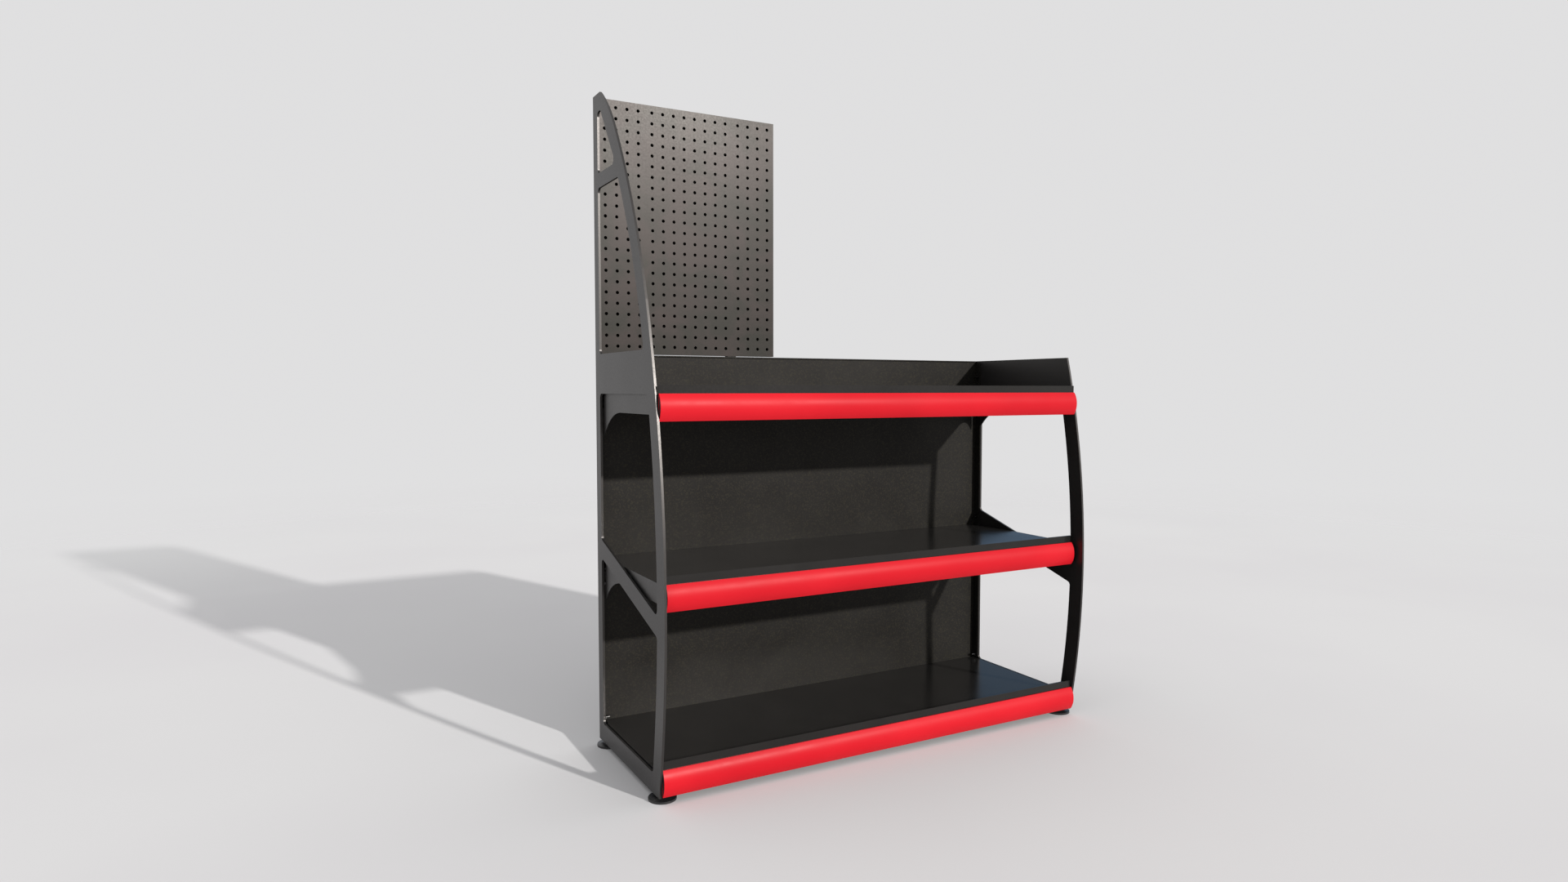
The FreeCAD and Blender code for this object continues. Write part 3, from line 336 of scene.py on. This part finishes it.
def thread_radius(major, turn, rise, drop):
    """The thread's radius at a turn round the stem, rise above its foot and drop below its top."""
    phase = (rise / THREAD_PITCH - turn) % 1.0
    crest = min(1.0, CREST_SLOPE * (1.0 - abs(2.0 * phase - 1.0)))
    lead_in = min(1.0, rise / MM, drop / MM)
    return major - THREAD_DEPTH * (1.0 - crest * max(0.0, lead_in))


def cut_slot(stem, centre, top):
    """Cut the driver slot across the stem's top, and leave the result in its mesh."""
    mesh = bmesh.new()
    bmesh.ops.create_cube(mesh, size=1.0)
    size = Vector((SLOT_LENGTH, 2 * SLOT_HALF_WIDTH, 2 * SLOT_DEPTH))
    bmesh.ops.scale(mesh, vec=size, verts=mesh.verts)
    bmesh.ops.translate(mesh, vec=Vector((centre.x, centre.y, top)), verts=mesh.verts)
    data = bpy.data.meshes.new("slot_cutter")
    mesh.to_mesh(data)
    mesh.free()
    cutter = bpy.data.objects.new("slot_cutter", data)
    bpy.context.scene.collection.objects.link(cutter)
    cut = stem.modifiers.new("slot", "BOOLEAN")
    cut.operation = "DIFFERENCE"
    cut.solver = "EXACT"
    cut.object = cutter
    graph = bpy.context.evaluated_depsgraph_get()
    slotted = bpy.data.meshes.new_from_object(stem.evaluated_get(graph))
    stem.modifiers.clear()
    stem.data = slotted
    bpy.data.objects.remove(cutter)


def threaded_stem(corner, material):
    """The levelling stem with its rolled thread and the driver slot across its top."""
    low, high = (Vector(point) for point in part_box("foot_stem_" + corner))
    centre = (low + high) / 2
    major = (high.x - low.x) / 2
    length = high.z - low.z
    rows = int(ROWS_PER_PITCH * length / THREAD_PITCH)
    mesh = bmesh.new()
    rings = []
    for row in range(rows + 1):
        rise = length * row / rows
        ring = []
        for side in range(STEM_SIDES):
            turn = side / STEM_SIDES
            radius = thread_radius(major, turn, rise, length - rise)
            angle = 2 * math.pi * turn
            ring.append(mesh.verts.new((centre.x + radius * math.cos(angle),
                                        centre.y + radius * math.sin(angle), low.z + rise)))
        rings.append(ring)
    for below, above in zip(rings, rings[1:]):
        for side in range(STEM_SIDES):
            after = (side + 1) % STEM_SIDES
            mesh.faces.new((below[side], below[after], above[after], above[side]))
    mesh.faces.new(list(reversed(rings[0])))
    mesh.faces.new(rings[-1])
    data = bpy.data.meshes.new("thread_" + corner)
    mesh.to_mesh(data)
    mesh.free()
    stem = bpy.data.objects.new("thread_" + corner, data)
    bpy.context.scene.collection.objects.link(stem)
    cut_slot(stem, centre, high.z)
    stem.data.materials.append(material)
    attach(stem, "stem_" + corner)
    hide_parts("foot_stem_" + corner)


# ---------------------------------------------------------------- surroundings

def floor():
    """A large pale disc that fades out into the background."""
    mesh = bmesh.new()
    centre = mesh.verts.new((0, 0, 0))
    last = None
    for radius in FLOOR_RINGS:
        angles = [2 * math.pi * k / FLOOR_SIDES for k in range(FLOOR_SIDES)]
        ring = [mesh.verts.new((radius * math.cos(a), radius * math.sin(a), 0)) for a in angles]
        for k in range(FLOOR_SIDES):
            after = (k + 1) % FLOOR_SIDES
            if last is None:
                mesh.faces.new((centre, ring[k], ring[after]))
            else:
                mesh.faces.new((last[k], ring[k], ring[after], last[after]))
        last = ring
    data = bpy.data.meshes.new("floor")
    mesh.to_mesh(data)
    mesh.free()
    plane = bpy.data.objects.new("floor", data)
    bpy.context.scene.collection.objects.link(plane)
    shader = Shader("pale_floor")
    tone = shader.ramp(shader.noise(0.8, 3.0), "Fac", 0.3, 0.7)
    shader.paint_with(shader.mix(tone, FLOOR_DEEP, FLOOR_PALE), None)
    shader.principled.inputs["Roughness"].default_value = 0.9
    shader.principled.inputs["Specular IOR Level"].default_value = 0.05
    clear = shader.add("ShaderNodeBsdfTransparent")
    blend = shader.add("ShaderNodeMixShader")
    distance = shader.add("ShaderNodeVectorMath", operation="LENGTH")
    shader.join(shader.place, "Object", distance, 0)
    fade = shader.ramp(distance, "Value", *FLOOR_FADE)
    shader.join(fade, 0, blend, 0)
    shader.join(shader.principled, "BSDF", blend, 1)
    shader.join(clear, "BSDF", blend, 2)
    shader.join(blend, "Shader", shader.output, "Surface")
    data.materials.append(shader.material)
    return plane


def lights():
    """A low sun from the front right, and a soft pale sky all round."""
    sun = bpy.data.lights.new("sun", "SUN")
    sun.energy = SUN_ENERGY
    sun.angle = SUN_SPREAD
    sun.color = SUN_COLOUR
    lamp = bpy.data.objects.new("sun", sun)
    bpy.context.scene.collection.objects.link(lamp)
    travel = Vector(SUN_TRAVEL).normalized()
    lamp.rotation_euler = travel.to_track_quat("-Z", "Y").to_euler()

    world = bpy.data.worlds.new("sky")
    bpy.context.scene.world = world
    world.use_nodes = True
    tree = world.node_tree
    background = tree.nodes["Background"]
    # what gloss reflects to the back right is a darker, bluer stretch of the studio
    place = tree.nodes.new("ShaderNodeTexCoord")
    toward = tree.nodes.new("ShaderNodeVectorMath")
    toward.operation = "DOT_PRODUCT"
    toward.inputs[1].default_value = Vector(BLUE_TOWARD).normalized()
    tree.links.new(place.outputs["Generated"], toward.inputs[0])
    patch = tree.nodes.new("ShaderNodeMapRange")
    patch.interpolation_type = "SMOOTHSTEP"
    patch.inputs["From Min"].default_value = BLUE_EDGE[0]
    patch.inputs["From Max"].default_value = BLUE_EDGE[1]
    tree.links.new(toward.outputs["Value"], patch.inputs["Value"])
    path = tree.nodes.new("ShaderNodeLightPath")
    share = tree.nodes.new("ShaderNodeMath")
    share.operation = "MULTIPLY"
    tree.links.new(patch.outputs[0], share.inputs[0])
    tree.links.new(path.outputs["Is Glossy Ray"], share.inputs[1])
    mix = tree.nodes.new("ShaderNodeMix")
    mix.data_type = "RGBA"
    mix.inputs[MIX_FIRST].default_value = SKY
    mix.inputs[MIX_SECOND].default_value = BLUE_SKY
    tree.links.new(share.outputs[0], mix.inputs[0])
    tree.links.new(mix.outputs[MIX_RESULT], background.inputs["Color"])
    # the sky lights matt surfaces a little more than it shows
    lift = tree.nodes.new("ShaderNodeMath")
    lift.operation = "MULTIPLY_ADD"
    lift.inputs[1].default_value = MATT_LIFT
    lift.inputs[2].default_value = 1.0
    tree.links.new(path.outputs["Is Diffuse Ray"], lift.inputs[0])
    tree.links.new(lift.outputs[0], background.inputs["Strength"])


def camera():
    """The camera, turned CAMERA_DOWN degrees below level and CAMERA_TURN degrees about the vertical."""
    data = bpy.data.cameras.new("camera")
    data.sensor_width = SENSOR_WIDTH
    data.lens = LENS
    data.dof.use_dof = False
    view = bpy.data.objects.new("camera", data)
    bpy.context.scene.collection.objects.link(view)
    view.location = CAMERA_PLACE
    view.rotation_euler = (math.radians(90.0 - CAMERA_DOWN), 0.0, math.radians(CAMERA_TURN))
    bpy.context.scene.camera = view


zinc_finish = finish_nodes()
for corner_name in ("front_left", "front_right", "rear_left", "rear_right"):
    threaded_stem(corner_name, zinc_finish)
floor()
lights()
camera()
bpy.context.scene.view_settings.view_transform = "Standard"
bpy.context.scene.view_settings.look = "None"
